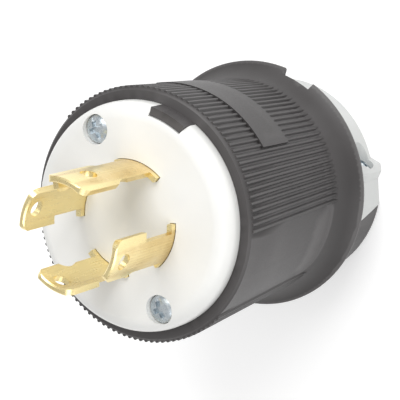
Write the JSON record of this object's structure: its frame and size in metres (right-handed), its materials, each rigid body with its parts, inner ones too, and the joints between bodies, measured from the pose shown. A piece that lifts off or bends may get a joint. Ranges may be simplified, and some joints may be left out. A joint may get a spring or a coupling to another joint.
{
  "type": "locking power plug",
  "caption": "Twist-lock power plug: ribbed tapering housing with a flared collar, moulded face with hooked arc blades, and a screw-down cord clamp at the rear.",
  "frame": {"origin": "centre of the plug's rear end, where the clamp's rear face stands", "axes": "+Z along the plug's axis towards the blades, +Y towards the key and the label pad, +X completes the right hand"},
  "size_m": [0.057, 0.0568, 0.0912],
  "materials": {
    "housing_nylon": "fine moulded texture, satin",
    "face_nylon": "smooth moulded, satin",
    "block_plastic": "moulded, matt",
    "blade_brass": "stamped, satin",
    "clamp_plate_steel": "plated, satin",
    "green_screw": "tinted plating, satin",
    "brass_screw": "machined, satin",
    "silver_screw": "nickel plated, satin",
    "zinc_screw": "zinc plated, satin",
    "insert_brass": "machined",
    "clamp_nylon": "smooth moulded, satin"
  },
  "bodies": {
    "root": {"housing": "housing_nylon", "face": "face_nylon", "terminal_block": "block_plastic", "ground_blade": "blade_brass", "line_x_blade": "blade_brass", "line_y_blade": "blade_brass", "neutral_blade": "blade_brass", "ground_wire_clamp": "clamp_plate_steel", "line_x_wire_clamp": "clamp_plate_steel", "line_y_wire_clamp": "clamp_plate_steel", "neutral_wire_clamp": "clamp_plate_steel", "ground_terminal_screw": "green_screw", "line_x_terminal_screw": "brass_screw", "line_y_terminal_screw": "brass_screw", "neutral_terminal_screw": "silver_screw", "assembly_screws": "zinc_screw", "assembly_inserts": "insert_brass", "cord_clamp": "clamp_nylon", "cord_clamp_screws": "zinc_screw", "cord_clamp_inserts": "insert_brass"}
  },
  "joints": []
}
